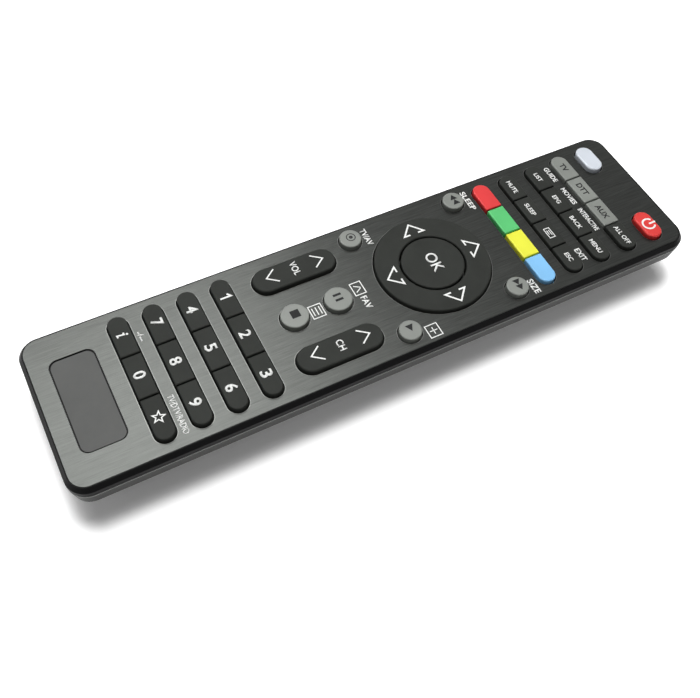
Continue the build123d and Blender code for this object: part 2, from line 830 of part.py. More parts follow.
# Indicator lamp under its window
with BuildPart() as indicator_lamp:
    with BuildSketch(Plane.XY.offset(sheet_bottom)):
        with Locations((-pill_x, pill_y)):
            Circle(lamp_radius)
    extrude(amount=lamp_height)
    fillet(indicator_lamp.faces().sort_by(Axis.Z)[-1].edges(), lamp_radius * led_dome_share)
export(indicator_lamp, "indicator_lamp")

# Control chip under the board, with its bent legs
with BuildPart() as control_chip:
    with BuildSketch(Plane.XY.offset(board_bottom - chip_height)):
        with Locations((0, chip_y)):
            Rectangle(chip_width, chip_length)
    extrude(amount=chip_height - chip_leg_thickness)
    chamfer(control_chip.faces().sort_by(Axis.Z)[0].edges(), chip_edge_break)
    leg_root = chip_width / 2 - chip_leg_thickness
    leg_tip = chip_width / 2 + chip_leg_reach
    leg_knee = chip_width / 2 + chip_leg_reach / 2
    leg_level = board_bottom - chip_height / 2
    with Locations((0, chip_y)):
        leg_rows = GridLocations(0, chip_leg_pitch, 1, chip_leg_count).locations
    for spot in leg_rows:
        with BuildSketch(Plane.XZ.offset(-spot.position.Y)):
            with BuildLine():
                Polyline(
                    (leg_root, leg_level),
                    (leg_knee, leg_level),
                    (leg_knee, board_bottom - chip_leg_thickness),
                    (leg_tip, board_bottom - chip_leg_thickness),
                    (leg_tip, board_bottom),
                    (leg_knee - chip_leg_thickness, board_bottom),
                    (leg_knee - chip_leg_thickness, leg_level + chip_leg_thickness),
                    (leg_root, leg_level + chip_leg_thickness),
                    close=True,
                )
            make_face()
            mirror(about=Plane.YZ)
        extrude(amount=chip_leg_width / 2, both=True)
export(control_chip, "control_chip")

# Resonator can
with BuildPart() as resonator:
    with BuildSketch(Plane.XY.offset(board_bottom - resonator_height)):
        with Locations((resonator_x, resonator_y)):
            SlotOverall(resonator_length, resonator_width)
    extrude(amount=resonator_height)
    fillet(resonator.faces().sort_by(Axis.Z)[0].edges(), can_round)
export(resonator, "resonator")

# Buffer capacitor, crimped near its foot
with BuildPart() as capacitor:
    with BuildSketch(Plane.XY.offset(board_bottom - capacitor_height)):
        with Locations((capacitor_x, capacitor_y)):
            Circle(capacitor_radius)
    extrude(amount=capacitor_height)
    fillet(capacitor.faces().sort_by(Axis.Z)[0].edges(), can_round)
    with BuildSketch(Plane.XY.offset(board_bottom - capacitor_crimp_drop)):
        with Locations((capacitor_x, capacitor_y)):
            Circle(capacitor_radius)
            Circle(capacitor_radius - capacitor_crimp, mode=Mode.SUBTRACT)
    extrude(amount=capacitor_crimp, mode=Mode.SUBTRACT)
export(capacitor, "capacitor")

# Screws, sunk in their wells
with BuildPart() as housing_screws:
    with BuildSketch(Plane.XY.offset(screw_well_depth - screw_head_height)):
        with Locations(*screw_places):
            Circle(screw_head_radius)
    extrude(amount=screw_head_height)
    fillet(housing_screws.faces().group_by(Axis.Z)[0].edges(), screw_head_round)
    with BuildSketch(Plane.XY.offset(screw_well_depth)):
        with Locations(*screw_places):
            Circle(screw_shank_radius)
    extrude(amount=screw_reach)
    with BuildSketch(Plane.XY.offset(screw_well_depth - screw_head_height)):
        with Locations(*screw_places):
            Rectangle(2 * screw_shank_radius, driver_slot)
            Rectangle(driver_slot, 2 * screw_shank_radius)
    extrude(amount=driver_depth, mode=Mode.SUBTRACT)
export(housing_screws, "housing_screws")
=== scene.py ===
import json
import math
import bmesh
import bpy
from mathutils import Euler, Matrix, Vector


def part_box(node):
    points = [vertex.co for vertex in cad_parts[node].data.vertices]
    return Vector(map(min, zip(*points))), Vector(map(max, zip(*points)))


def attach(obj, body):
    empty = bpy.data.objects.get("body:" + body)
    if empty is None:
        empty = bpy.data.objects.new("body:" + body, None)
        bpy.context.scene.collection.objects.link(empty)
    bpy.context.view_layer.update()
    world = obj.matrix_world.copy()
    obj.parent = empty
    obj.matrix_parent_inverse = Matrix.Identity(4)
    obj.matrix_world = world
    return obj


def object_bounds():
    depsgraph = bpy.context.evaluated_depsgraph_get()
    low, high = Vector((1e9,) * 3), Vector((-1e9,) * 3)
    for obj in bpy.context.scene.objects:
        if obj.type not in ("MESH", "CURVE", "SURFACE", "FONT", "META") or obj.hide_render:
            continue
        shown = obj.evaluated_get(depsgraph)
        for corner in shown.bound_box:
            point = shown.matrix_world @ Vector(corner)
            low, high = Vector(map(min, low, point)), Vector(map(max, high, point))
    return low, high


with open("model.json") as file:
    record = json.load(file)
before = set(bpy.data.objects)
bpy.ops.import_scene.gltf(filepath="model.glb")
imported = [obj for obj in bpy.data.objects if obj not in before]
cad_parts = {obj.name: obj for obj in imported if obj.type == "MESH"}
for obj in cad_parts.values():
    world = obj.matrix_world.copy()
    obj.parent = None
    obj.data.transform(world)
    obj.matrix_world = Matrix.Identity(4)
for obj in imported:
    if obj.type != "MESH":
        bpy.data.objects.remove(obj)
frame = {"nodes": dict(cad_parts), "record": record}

cad_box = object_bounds()

MM = 0.001
WHITE = (1, 1, 1, 1)


def top(node_name):
    """Height of a CAD node's top in millimetres."""
    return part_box(node_name)[1].z / MM


def extent(first, last=None):
    """Lowest and highest corner, in millimetres, of one CAD node or the space from one to another."""
    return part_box(first)[0] / MM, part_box(last or first)[1] / MM


def centre(first, last=None):
    """Middle of that space, in millimetres, seen from above."""
    low, high = extent(first, last)
    return (low.x + high.x) / 2, (low.y + high.y) / 2


# Shader nodes

def node(tree, kind, **values):
    """One node, with properties set by attribute and inputs by name."""
    made = tree.nodes.new(kind)
    for key, value in values.items():
        if hasattr(made, key):
            setattr(made, key, value)
        else:
            made.inputs[key.replace("_", " ")].default_value = value
    return made


def maths(tree, operation, *values):
    """A Math node whose inputs are sockets or plain numbers."""
    made = node(tree, "ShaderNodeMath", operation=operation)
    for socket, value in zip(made.inputs, values):
        if isinstance(value, bpy.types.NodeSocket):
            tree.links.new(value, socket)
        else:
            socket.default_value = value
    return made.outputs["Value"]


def vector_maths(tree, operation, vector, other=(0, 0, 0)):
    """A Vector Math node between a socket and a plain vector."""
    made = node(tree, "ShaderNodeVectorMath", operation=operation)
    tree.links.new(vector, made.inputs[0])
    made.inputs[1].default_value = other
    return made.outputs["Value" if operation == "LENGTH" else "Vector"]


def object_coordinates(tree, scale=(1, 1, 1)):
    """Object coordinates, stretched per axis."""
    coordinates = node(tree, "ShaderNodeTexCoord")
    mapping = node(tree, "ShaderNodeMapping", Scale=scale)
    tree.links.new(coordinates.outputs["Object"], mapping.inputs["Vector"])
    return mapping.outputs["Vector"]


def height_of(tree, vector):
    """The Z part of a vector."""
    parts = node(tree, "ShaderNodeSeparateXYZ")
    tree.links.new(vector, parts.inputs["Vector"])
    return parts.outputs["Z"]


def noise(tree, vector, scale, detail=3, roughness=0.55):
    """Cloudy noise from 0 to 1."""
    made = node(tree, "ShaderNodeTexNoise", Scale=scale, Detail=detail, Roughness=roughness)
    tree.links.new(vector, made.inputs["Vector"])
    return made.outputs["Fac"]


def ramp(tree, factor, positions, colours):
    """Colour ramp with each colour at its position."""
    made = node(tree, "ShaderNodeValToRGB")
    elements = made.color_ramp.elements
    for element, end in zip(elements, (0, -1)):
        element.position = positions[end]
        element.color = (*colours[end], 1)
    for position, colour in zip(positions[1:-1], colours[1:-1]):
        elements.new(position).color = (*colour, 1)
    tree.links.new(factor, made.inputs["Fac"])
    return made.outputs["Color"]


def span(tree, factor, low, high, start=0.0, stop=1.0, curve="LINEAR"):
    """Map start..stop to low..high."""
    made = node(
        tree, "ShaderNodeMapRange", interpolation_type=curve,
        From_Min=start, From_Max=stop, To_Min=low, To_Max=high,
    )
    tree.links.new(factor, made.inputs["Value"])
    return made.outputs["Result"]


def bump(tree, shader, height, strength, depth):
    """Relief on a shader, depth in metres."""
    made = node(tree, "ShaderNodeBump", Strength=strength, Distance=depth)
    tree.links.new(height, made.inputs["Height"])
    tree.links.new(made.outputs["Normal"], shader.inputs["Normal"])


def shades(colour, spread):
    """A darker and a lighter version of a colour."""
    return tuple(c * (1 - spread) for c in colour), tuple(min(1, c * (1 + spread)) for c in colour)


# Kinds of material

GRAIN_DEPTH = 0.03 * MM
BRUSH_DEPTH = 0.02 * MM
INK_DEPTH = 0.01 * MM
COAT_ROUGHNESS = 0.12
# From this height, in millimetres, upward the lower shell is painted lighter: a painted highlight along its
# top edge.
LIP_HEIGHT = 15.5
LIP_BLEND = 0.05
# Where on a ramp the darker and the lighter colour stand
CLOUD_STOPS = (0.3, 0.7)
BRUSH_STOPS = (0.32, 0.5, 0.68)
INK_STOPS = (0.35, 0.6)


def new_material(name):
    """An empty node material, its tree and its main shader."""
    material = bpy.data.materials.new(name)
    material.use_nodes = True
    return material, material.node_tree, material.node_tree.nodes["Principled BSDF"]


def plastic(name, colour, rough, spread, specular, grain, relief, coat=0.0, painted_lip_highlight=None):
    """Moulded plastic: slightly uneven colour, fine spark-eroded grain and a little handling polish.

    A painted highlight colour takes over from LIP_HEIGHT upward: a lighter band along the top edge of the
    lower shell, where that edge catches the light.
    """
    material, tree, shader = new_material(name)
    place = object_coordinates(tree)
    cloud = noise(tree, place, scale=90, detail=4)
    fine = noise(tree, place, scale=grain, detail=2)
    tint = ramp(tree, cloud, CLOUD_STOPS, shades(colour, spread))
    # Painted highlight: a lighter band from LIP_HEIGHT upward.
    if painted_lip_highlight:
        above = span(tree, height_of(tree, place), 0, 1, LIP_HEIGHT * MM, (LIP_HEIGHT + LIP_BLEND) * MM)
        mix = node(tree, "ShaderNodeMix", data_type="RGBA")
        mix.inputs["B"].default_value = (*painted_lip_highlight, 1)
        tree.links.new(above, mix.inputs["Factor"])
        tree.links.new(tint, mix.inputs["A"])
        tint = mix.outputs["Result"]
    tree.links.new(tint, shader.inputs["Base Color"])
    unevenness = 0.06
    tree.links.new(span(tree, cloud, rough - unevenness, rough + unevenness), shader.inputs["Roughness"])
    shader.inputs["Specular IOR Level"].default_value = specular
    if coat:
        shader.inputs["Coat Weight"].default_value = coat
        shader.inputs["Coat Roughness"].default_value = COAT_ROUGHNESS
    bump(tree, shader, fine, relief, GRAIN_DEPTH)
    return material


def scratches(tree, streak, length_axis, across, along, detail, roughness):
    """Noise drawn out along one axis; across and along divide the scale of the streaks."""
    scale = [streak / across] * 3
    scale[length_axis] = streak / along
    return noise(tree, object_coordinates(tree, scale), scale=1.0, detail=detail, roughness=roughness)


def brushed(name, colour, rough, streak, contrast, relief, length_axis=1):
    """Metal brushed along one axis, with fine long scratches over broader ones."""
    material, tree, shader = new_material(name)
    fine = scratches(tree, streak, length_axis, across=1, along=70, detail=3, roughness=0.7)
    broad = scratches(tree, streak, length_axis, across=5, along=160, detail=2, roughness=0.5)
    broad_share = 0.25
    grain = maths(tree, "MULTIPLY_ADD", broad, broad_share, span(tree, fine, 0.0, 1 - broad_share))
    dark, light = shades(colour, contrast)
    tree.links.new(ramp(tree, grain, BRUSH_STOPS, (dark, colour, light)), shader.inputs["Base Color"])
    unevenness = 0.1
    tree.links.new(span(tree, grain, rough - unevenness, rough + unevenness), shader.inputs["Roughness"])
    shader.inputs["Metallic"].default_value = 1.0
    bump(tree, shader, grain, relief, BRUSH_DEPTH)
    return material


def printed(name, colour):
    """Screen-printed ink, a little uneven in cover."""
    material, tree, shader = new_material(name)
    cover = noise(tree, object_coordinates(tree), scale=1800)
    thin = tuple(c * 0.86 for c in colour)
    tree.links.new(ramp(tree, cover, INK_STOPS, (thin, colour)), shader.inputs["Base Color"])
    tree.links.new(span(tree, cover, low=0.52, high=0.68), shader.inputs["Roughness"])
    shader.inputs["Specular IOR Level"].default_value = 0.08
    bump(tree, shader, cover, strength=0.1, depth=INK_DEPTH)
    return material


def clear(name, colour):
    """Clear resin, very slightly uneven."""
    material, tree, shader = new_material(name)
    cloud = noise(tree, object_coordinates(tree), scale=160)
    dull = tuple(c * 0.93 for c in colour)
    tree.links.new(ramp(tree, cloud, CLOUD_STOPS, (dull, colour)), shader.inputs["Base Color"])
    tree.links.new(span(tree, cloud, low=0.05, high=0.10), shader.inputs["Roughness"])
    shader.inputs["Transmission Weight"].default_value = 1.0
    return material


def key_plastic(name, colour, spread=0.06, rough=0.42, specular=0.25):
    """The satin plastic that the grey, coloured and power keys share."""
    return plastic(name, colour, rough, spread, specular, grain=8000, relief=0.15)


# Materials of the shells and the plate
finish = {
    "upper_shell": plastic(
        "upper_shell_plastic", (0.004, 0.004, 0.0042),
        rough=0.36, spread=0.2, specular=0.05, grain=7000, relief=0.06,
    ),
    "lower_shell": plastic(
        "lower_shell_plastic", (0.026, 0.027, 0.025),
        # The lighter colour from LIP_HEIGHT up is a painted highlight along the shell's top edge.
        rough=0.44, spread=0.2, specular=0.16, grain=5200, relief=0.3, painted_lip_highlight=(0.28, 0.283, 0.272),
    ),
    "face_plate": brushed(
        "brushed_plate", (0.0330, 0.0345, 0.0326),
        rough=0.31, streak=9500, contrast=0.34, relief=0.5,
    ),
    "badge": plastic(
        "badge_plastic", (0.105, 0.107, 0.104),
        rough=0.6, spread=0.08, specular=0.1, grain=6000, relief=0.15,
    ),
}
# Materials of the keys and windows
finish |= {
    "key_black": plastic(
        "key_rubber_black", (0.028, 0.030, 0.027),
        rough=0.6, spread=0.15, specular=0.07, grain=8000, relief=0.2,
    ),
    "key_grey": key_plastic(
        "key_grey_plastic", (0.205, 0.217, 0.199), spread=0.08, rough=0.45, specular=0.3,
    ),
    "key_red": key_plastic("key_red_plastic", (0.69, 0.036, 0.038)),
    "key_green": key_plastic("key_green_plastic", (0.092, 0.515, 0.16)),
    "key_yellow": key_plastic("key_yellow_plastic", (0.765, 0.77, 0.048), spread=0.05),
    "key_blue": key_plastic("key_blue_plastic", (0.22, 0.515, 0.84)),
    "key_power": key_plastic("key_power_plastic", (0.66, 0.040, 0.036)),
    "lamp_window": plastic(
        "lamp_window_plastic", (0.60, 0.64, 0.70),
        rough=0.3, spread=0.04, specular=0.4, grain=3000, relief=0.04, coat=0.2,
    ),
    "infrared_window": plastic(
        "infrared_window_plastic", (0.012, 0.003, 0.005),
        rough=0.16, spread=0.1, specular=0.12, grain=3000, relief=0.02,
    ),
}
# Materials of what sits inside
finish |= {
    "circuit_board": plastic(
        "board_resist", (0.02, 0.13, 0.05),
        rough=0.35, spread=0.25, specular=0.5, grain=2600, relief=0.2,
    ),
    "key_rubber": plastic(
        "sheet_rubber", (0.16, 0.16, 0.155),
        rough=0.75, spread=0.12, specular=0.25, grain=5000, relief=0.3,
    ),
    "cell_jacket": brushed(
        "cell_jacket_foil", (0.07, 0.14, 0.30), rough=0.35, streak=2600, contrast=0.15, relief=0.1,
    ),
    "contact_metal": brushed(
        "contact_metal", (0.70, 0.69, 0.65),
        rough=0.28, streak=3800, contrast=0.12, relief=0.12, length_axis=0,
    ),
    "lamp_resin": clear("lamp_resin", (0.92, 0.93, 0.97)),
    "chip_resin": plastic(
        "chip_resin", (0.016, 0.016, 0.017),
        rough=0.6, spread=0.2, specular=0.4, grain=4200, relief=0.3,
    ),
    "can_metal": brushed(
        "can_metal", (0.6, 0.6, 0.58), rough=0.3, streak=3200, contrast=0.12, relief=0.1,
    ),
    "capacitor_sleeve": plastic(
        "capacitor_sleeve", (0.01, 0.015, 0.07),
        rough=0.3, spread=0.15, specular=0.5, grain=3000, relief=0.1,
    ),
    "screw_steel": brushed(
        "screw_steel", (0.32, 0.32, 0.33), rough=0.35, streak=3600, contrast=0.25, relief=0.2,
    ),
}
# Inks, and a thin strip of bright metal painted round the plate's openings as the highlight on their edges
ink = {
    "opening_highlight": brushed("opening_edge_highlight", (0.085, 0.087, 0.083), rough=0.34, streak=6000, contrast=0.2, relief=0.1),
    "white": printed("ink_white", (0.90, 0.91, 0.89)),
    "dark": printed("ink_dark", (0.022, 0.0225, 0.023)),
}

slots = {part["node"]: part["material_slot"] for part in frame["record"]["subparts"]}
for name, obj in frame["nodes"].items():
    obj.data.materials.clear()
    obj.data.materials.append(finish[slots[name]])


# Printed legends, all in millimetres

PRINT_THICKNESS = 0.02
PRINT_FLOAT = 0.006
MERGE_DISTANCE = 0.004
# Shares of the font's size: the height of a capital, and a depth that only low signs reach
CAPITAL_SHARE = 0.69
LOW_SIGN_SHARE = -0.15
# The least cosine that widens a corner, so that sharp corners stay short
MITRE_LIMIT = 0.35


class Legend:
    """All the print on one body at one height, as one thin mesh per ink."""

    def __init__(self, body, z):
        self.body = body
        self.z = z
        self.meshes = {}

    def mesh(self, colour):
        """The mesh that gathers one ink."""
        return self.meshes.setdefault(colour, bmesh.new())

    def word(self, text, x, y, height, width=None, colour="white", bold=0.0):
        """A word with its middle at x, y and capitals of the given height, reading along +X."""
        curve = bpy.data.curves.new("word", "FONT")
        curve.body = text
        curve.size = 1
        curve.offset = bold
        curve.resolution_u = 6
        holder = bpy.data.objects.new("word", curve)
        bpy.context.collection.objects.link(holder)
        bpy.context.view_layer.update()
        made = bpy.data.meshes.new_from_object(holder.evaluated_get(bpy.context.evaluated_depsgraph_get()))
        bpy.data.objects.remove(holder)
        bpy.data.curves.remove(curve)
        xs = [v.co.x for v in made.vertices]
        ys = [v.co.y for v in made.vertices]
        up = height / CAPITAL_SHARE
        across = width / (max(xs) - min(xs)) if width else up
        middle_x = (max(xs) + min(xs)) / 2
        middle_y = CAPITAL_SHARE / 2 if min(ys) > LOW_SIGN_SHARE else (max(ys) + min(ys)) / 2
        for v in made.vertices:
            v.co = Vector((x + (v.co.x - middle_x) * across, y + (v.co.y - middle_y) * up, self.z)) * MM
        self.mesh(colour).from_mesh(made)
        bpy.data.meshes.remove(made)

    def stroke(self, points, width, colour="white", closed=False):
        """A line of the given width through points, with mitred corners."""
        bm = self.mesh(colour)
        points = [Vector(p) for p in points]
        count = len(points)
        pairs = []
        for i, point in enumerate(points):
            before = points[i - 1] if i > 0 or closed else None
            after = points[(i + 1) % count] if i < count - 1 or closed else None
            arriving = (point - before if before is not None else after - point).normalized()
            leaving = (after - point).normalized() if after is not None else arriving
            normal = Vector((-arriving.y, arriving.x))
            mitre = (normal + Vector((-leaving.y, leaving.x))).normalized()
            reach = width / 2 / max(MITRE_LIMIT, mitre.dot(normal))
            sides = (point + mitre * reach, point - mitre * reach)
            pairs.append([bm.verts.new((s.x * MM, s.y * MM, self.z * MM)) for s in sides])
        for i in range(count if closed else count - 1):
            (left, right), (next_left, next_right) = pairs[i], pairs[(i + 1) % count]
            bm.faces.new((left, right, next_right, next_left))

    def shape(self, points, colour="white"):
        """A filled outline."""
        bm = self.mesh(colour)
        bm.faces.new([bm.verts.new((x * MM, y * MM, self.z * MM)) for x, y in points])

    def arc(self, x, y, radius, width, colour="white", start=0, turn=360, steps=40):
        """Part of a circle, angles in degrees, drawn as a line."""
        full = turn == 360
        points = []
        for i in range(steps if full else steps + 1):
            angle = math.radians(start + turn * i / steps)
            points.append((x + radius * math.cos(angle), y + radius * math.sin(angle)))
        self.stroke(points, width, colour, closed=full)

    def finish(self):
        """Give each ink's mesh its thickness and let it ride on its body."""
        for colour, bm in self.meshes.items():
            bmesh.ops.remove_doubles(bm, verts=bm.verts, dist=MERGE_DISTANCE * MM)
            bmesh.ops.recalc_face_normals(bm, faces=bm.faces)
            for face in bm.faces:
                if face.normal.z < 0:
                    face.normal_flip()
            bmesh.ops.translate(bm, verts=bm.verts, vec=(0, 0, PRINT_FLOAT * MM))
            bmesh.ops.solidify(bm, geom=bm.faces[:], thickness=PRINT_THICKNESS * MM)
            mesh = bpy.data.meshes.new(f"print_{colour}_{self.body}")
            bm.to_mesh(mesh)
            bm.free()
            obj = bpy.data.objects.new(mesh.name, mesh)
            bpy.context.collection.objects.link(obj)
            mesh.materials.append(ink[colour])
            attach(obj, self.body)


def key_legend(key):
    """The legend of a key, on the key's top."""
    return Legend(key, top(key))


def rectangle(x, y, width, height):
    """Corners of a rectangle about x, y."""
    return [(x + i * width / 2, y + j * height / 2) for i, j in ((-1, -1), (1, -1), (1, 1), (-1, 1))]


def moved(outline, x, y):
    """An outline moved to stand about x, y."""
    return [(x + u, y + v) for u, v in outline]


# Signs of the number keys
THIRD_XS = (-14.4, -0.2, 14.1)
NUMBER_ROWS = (
    ("key_info", "key_0", "key_favourite"),
    ("key_7", "key_8", "key_9"),
    ("key_4", "key_5", "key_6"),
    ("key_1", "key_2", "key_3"),
)
DIGIT_HEIGHT = 3.25
DIGIT_WIDTH = 2.35
DIGIT_BOLD = 0.022


def star(mark, x, y):
    """An open star with its first point up."""
    radii = (1.75, 0.75)
    line = 0.34
    point_count = 5
    corners = []
    for i in range(2 * point_count):
        angle = math.radians(90 + 180 * i / point_count)
        corners.append((radii[i % 2] * math.cos(angle), radii[i % 2] * math.sin(angle)))
    mark.stroke(moved(corners, x, y), line, closed=True)


def letter_i(mark, x, y):
    """A slanted i with a short serif and foot."""
    stem = ((-0.7, 0.55), (0, 0.65), (-0.25, -1.3), (0.5, -1.2))
    stem_line = 0.46
    dot_x, dot_y = 0.15, 1.45
    dot_radius = 0.17
    dot_line = 0.33
    mark.stroke(moved(stem, x, y), stem_line)
    mark.arc(x + dot_x, y + dot_y, dot_radius, dot_line, steps=12)


def figure_one(mark, x, y):
    """A 1 of a short upstroke and a plain stem."""
    outline = ((-0.85, 0.75), (0.25, 1.62), (0.25, -1.62))
    line = 0.56
    mark.stroke(moved(outline, x, y), line)


drawn_signs = {"key_favourite": star, "key_info": letter_i, "key_1": figure_one}
for row in NUMBER_ROWS:
    for key, x in zip(row, THIRD_XS):
        y = centre(key)[1]
        mark = key_legend(key)
        if key in drawn_signs:
            drawn_signs[key](mark, x, y)
        else:
            mark.word(key[-1], x, y, DIGIT_HEIGHT, DIGIT_WIDTH, bold=DIGIT_BOLD)
        mark.finish()

# Words of the upper keys
QUARTER_XS = (-15.9, -5.35, 5.3, 15.85)
UPPER_ROWS = (
    (("key_mute", "MUTE"), ("key_sleep", "SLEEP"), ("key_text", None), ("key_escape", "ESC")),
    (("key_list", "LIST"), ("key_guide", "EPG"), ("key_back", "BACK"), ("key_menu", "MENU")),
    (("key_device_1", "TV"), ("key_device_2", "DTT"), ("key_device_3", "AUX"), ("key_all_off", "ALL OFF")),
)
KEY_WORD = {"height": 1.45, "bold": 0.024}
DEVICE_WORD = {"height": 1.85, "bold": 0.03, "colour": "dark"}
ALL_OFF_WIDTH = 7.6


def page(mark, x, y):
    """A page with two lines of text, the lower one shorter."""
    width, height = 3.8, 1.9
    drop = 0.05
    upper_line = ((-1.1, 0.3), (1.1, 0.3))
    lower_line = ((-1.1, -0.4), (0.6, -0.4))
    page_thickness, line_thickness = 0.26, 0.24
    mark.stroke(rectangle(x, y - drop, width, height), page_thickness, closed=True)
    for line in (upper_line, lower_line):
        mark.stroke(moved(line, x, y), line_thickness)


for row in UPPER_ROWS:
    for (key, text), x in zip(row, QUARTER_XS):
        y = centre(key)[1]
        mark = key_legend(key)
        if text is None:
            page(mark, x, y)
        elif key.startswith("key_device"):
            mark.word(text, x, y, **DEVICE_WORD)
        elif key == "key_all_off":
            mark.word(text, x, y, width=ALL_OFF_WIDTH, **KEY_WORD)
        else:
            mark.word(text, x, y, **KEY_WORD)
        mark.finish()

# Arrows and words of the volume and channel rockers: body, arrow x, word, word x, word width
ROCKERS = (
    ("volume_rocker", -15.4, "VOL", -15.4, 5.0),
    ("channel_rocker", 14.5, "CH", 14.6, 3.7),
)
ROCKER_WORD = {"height": 2.05, "bold": 0.018}
ROCKER_WORD_RAISE = 0.4
ARROW_TIPS = (-8.8, 9.5)
ARROW_HALF = 2.4
ARROW_RISE = 3.2
ARROW_LINE = 0.42

for rocker, arrow_x, text, word_x, width in ROCKERS:
    y = centre(rocker)[1]
    mark = key_legend(rocker)
    for tip in ARROW_TIPS:
        foot = tip - math.copysign(ARROW_RISE, tip)
        arrow = ((-ARROW_HALF, foot), (0, tip), (ARROW_HALF, foot))
        mark.stroke(moved(arrow, arrow_x, y), ARROW_LINE)
    mark.word(text, word_x, y + ROCKER_WORD_RAISE, width=width, **ROCKER_WORD)
    mark.finish()

# Symbols of the round keys
STOP_X, STOP_Y = -0.4, -25.65
STOP_SIZE = 2.7
PAUSE_XS, PAUSE_Y = (-1.35, 0.45), -11.85
PAUSE_WIDTH, PAUSE_HEIGHT = 0.8, 2.5
SOURCE_X, SOURCE_Y = -18.9, 1.9
PLAY_OUTLINE = ((16.9, 0.6), (19.2, 1.9), (16.9, 3.1))
REWIND_X, FORWARD_X, SKIP_Y = -18.9, 18.4, 38.9


def circled_dot(key, x, y):
    """A dot in a thin circle."""
    circle_radius, circle_line = 1.35, 0.3
    dot_radius, dot_line = 0.35, 0.5
    mark = key_legend(key)
    mark.arc(x, y, circle_radius, circle_line, "dark")
    mark.arc(x, y, dot_radius, dot_line, "dark", steps=16)
    mark.finish()


def two_triangles(key, x, y, way):
    """Two triangles in a row that point the same way."""
    length, half = 2.0, 1.25
    mark = key_legend(key)
    for side in (-1, 1):
        tip = x + (way + side) * length / 2
        corners = [(tip, y), (tip - way * length, y + half), (tip - way * length, y - half)]
        mark.shape(corners[::way], "dark")
    mark.finish()


def filled(key, *outlines):
    """Dark filled outlines on a key."""
    mark = key_legend(key)
    for outline in outlines:
        mark.shape(outline, "dark")
    mark.finish()


filled("key_stop", rectangle(STOP_X, STOP_Y, STOP_SIZE, STOP_SIZE))
filled("key_pause", *(rectangle(x, PAUSE_Y, PAUSE_WIDTH, PAUSE_HEIGHT) for x in PAUSE_XS))
circled_dot("key_source", SOURCE_X, SOURCE_Y)
filled("key_play", PLAY_OUTLINE)
two_triangles("key_rewind", REWIND_X, SKIP_Y, way=-1)
two_triangles("key_forward", FORWARD_X, SKIP_Y, way=1)

# Direction ring, OK key and power key
RING_MARKS_Y = 20.4
RING_ARROW = ((12.1, -1.35), (12.1, -3.35), (15.9, 0), (12.1, 3.35), (12.1, 1.35))
RING_ARROW_LINE = 0.52
OK_X, OK_Y = 0.1, 20.5
OK_HEIGHT, OK_WIDTH, OK_BOLD = 3.5, 7.2, 0.012
POWER_X, POWER_Y = 15.9, 90.0
POWER_RADIUS = 1.95
POWER_LINE = 0.6
POWER_ARC_START, POWER_ARC_TURN = 125, 290
POWER_BAR_FOOT, POWER_BAR_TOP = 0.1, 2.5

mark = key_legend("direction_ring")
for across, up in ((1, 0), (0, 1), (-1, 0), (0, -1)):
    turned = [(u * across - v * up, u * up + v * across) for u, v in RING_ARROW]
    mark.stroke(moved(turned, 0, RING_MARKS_Y), RING_ARROW_LINE)
mark.finish()
mark = key_legend("key_ok")
mark.word("OK", OK_X, OK_Y, OK_HEIGHT, OK_WIDTH, bold=OK_BOLD)
mark.finish()
mark = key_legend("key_power")
mark.arc(POWER_X, POWER_Y, POWER_RADIUS, POWER_LINE, start=POWER_ARC_START, turn=POWER_ARC_TURN)
mark.stroke(moved(((0, POWER_BAR_FOOT), (0, POWER_BAR_TOP)), POWER_X, POWER_Y), POWER_LINE)
mark.finish()

# Words and symbols on the plate: text, x, y, height, width, bold
PLATE_WORDS = (
    ("-/--", -13.0, -67.4, 1.7, 3.4, 0.03),
    ("TV/DTV/RADIO", 14.6, -67.1, 1.75, 12.8, 0.016),
    ("FAV", 3.7, -4.5, 1.9, 4.6, 0.028),
    ("TV/AV", -18.1, 7.0, 1.8, 6.6, 0.028),
    ("SLEEP", -17.6, 43.6, 1.75, 8.0, 0.03),
    ("SIZE", 20.0, 43.7, 1.95, 5.4, 0.028),
    ("EXIT", 16.1, 63.9, 1.75, 5.0, 0.03),
    ("GUIDE", -15.9, 74.7, 1.6, 6.6, 0.028),
    ("MOVIES", -5.6, 74.7, 1.6, 7.4, 0.028),
    ("INTERACTIVE", 5.3, 74.7, 1.6, 9.9, 0.028),
)
plate_top = top("face_plate")
plate = Legend("housing", plate_top)
for text, x, y, height, width, bold in PLATE_WORDS:
    plate.word(text, x, y, height, width, bold=bold)


# Framed symbols: x, y, width and height of the frame, and lines given from its middle
BOX_THICKNESS = 0.3
TEXT_BOX = (0.4, -19.1, 4.5, 3.9)
TEXT_LINES = tuple(((-1.4, y), (1.4, y)) for y in (-1.1, 0, 1.1))
TEXT_THICKNESS = 0.3
ROOF_BOX = (-1.8, -4.6, 4.5, 3.4)
ROOF_LINES = tuple(((side * 1.2, -0.9), (side * 0.1, 0.9)) for side in (-1, 1))
PLUS_BOX = (20.8, 8.2, 4.2, 3.8)
PLUS_LINES = (((-1.2, 0), (1.2, 0)), ((0, -1.2), (0, 1.2)))
SIGN_THICKNESS = 0.28

for (x, y, width, height), lines, thickness in (
    (TEXT_BOX, TEXT_LINES, TEXT_THICKNESS),
    (ROOF_BOX, ROOF_LINES, SIGN_THICKNESS),
    (PLUS_BOX, PLUS_LINES, SIGN_THICKNESS),
):
    plate.stroke(rectangle(x, y, width, height), BOX_THICKNESS, closed=True)
    for line in lines:
        plate.stroke(moved(line, x, y), thickness)
plate.finish()

# Painted highlight round the plate's openings: a thin strip of bright metal along their edges, set in from
# the outline of the hidden flanges there
SLOT_INSET = 0.2
ROUND_INSET = 0.23
SLOT_LINE = 0.12
ROUND_LINE = 0.13
SLOT_END_STEPS = 24
SLOTS = [(row[0], row[-1]) for row in NUMBER_ROWS]
SLOTS += [("key_red", "key_blue")]
SLOTS += [(row[0][0], row[-1][0]) for row in UPPER_ROWS]
SLOTS += [("indicator_window",), ("key_power",), ("volume_rocker",), ("channel_rocker",)]
